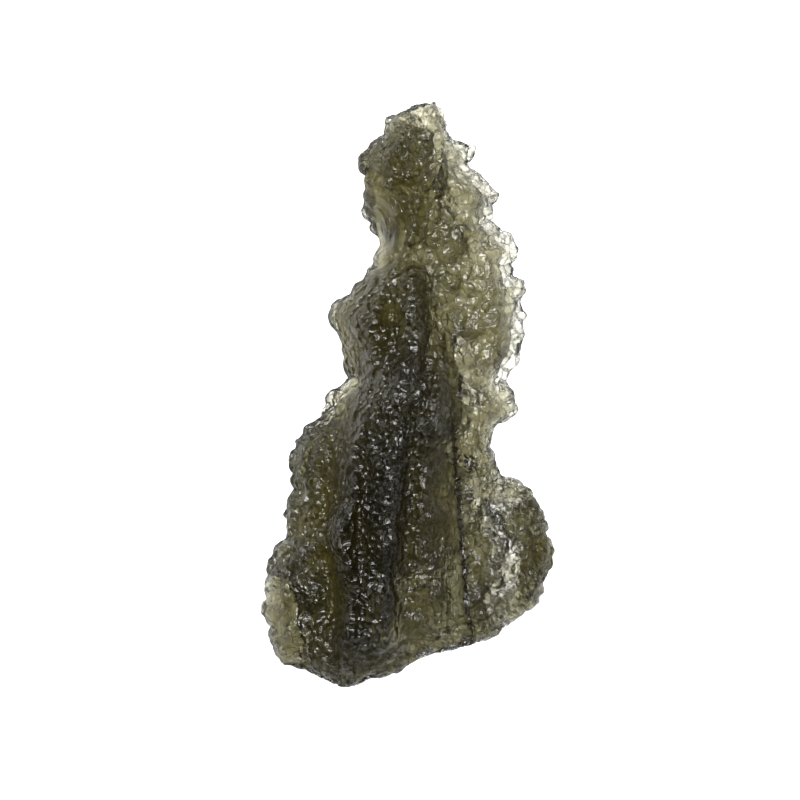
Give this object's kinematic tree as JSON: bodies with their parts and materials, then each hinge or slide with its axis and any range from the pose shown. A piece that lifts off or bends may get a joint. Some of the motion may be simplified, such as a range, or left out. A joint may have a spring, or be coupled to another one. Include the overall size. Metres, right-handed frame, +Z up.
{
  "type": "moldavite tektite",
  "caption": "Flattened, deeply etched piece of olive-green natural glass with a thin toothed fin, lying on its flatter side.",
  "frame": {"origin": "centre of the stone's bounding box seen from above, at the height of the surface it rests on", "axes": "+Y along the stone towards its narrow tip, +X towards the thin toothed fin, +Z up"},
  "size_m": [0.0206, 0.0418, 0.0088],
  "materials": {
    "etched_glass": "etched natural glass, pitted and striated"
  },
  "bodies": {
    "root": {"tektite": "etched_glass"}
  },
  "joints": []
}
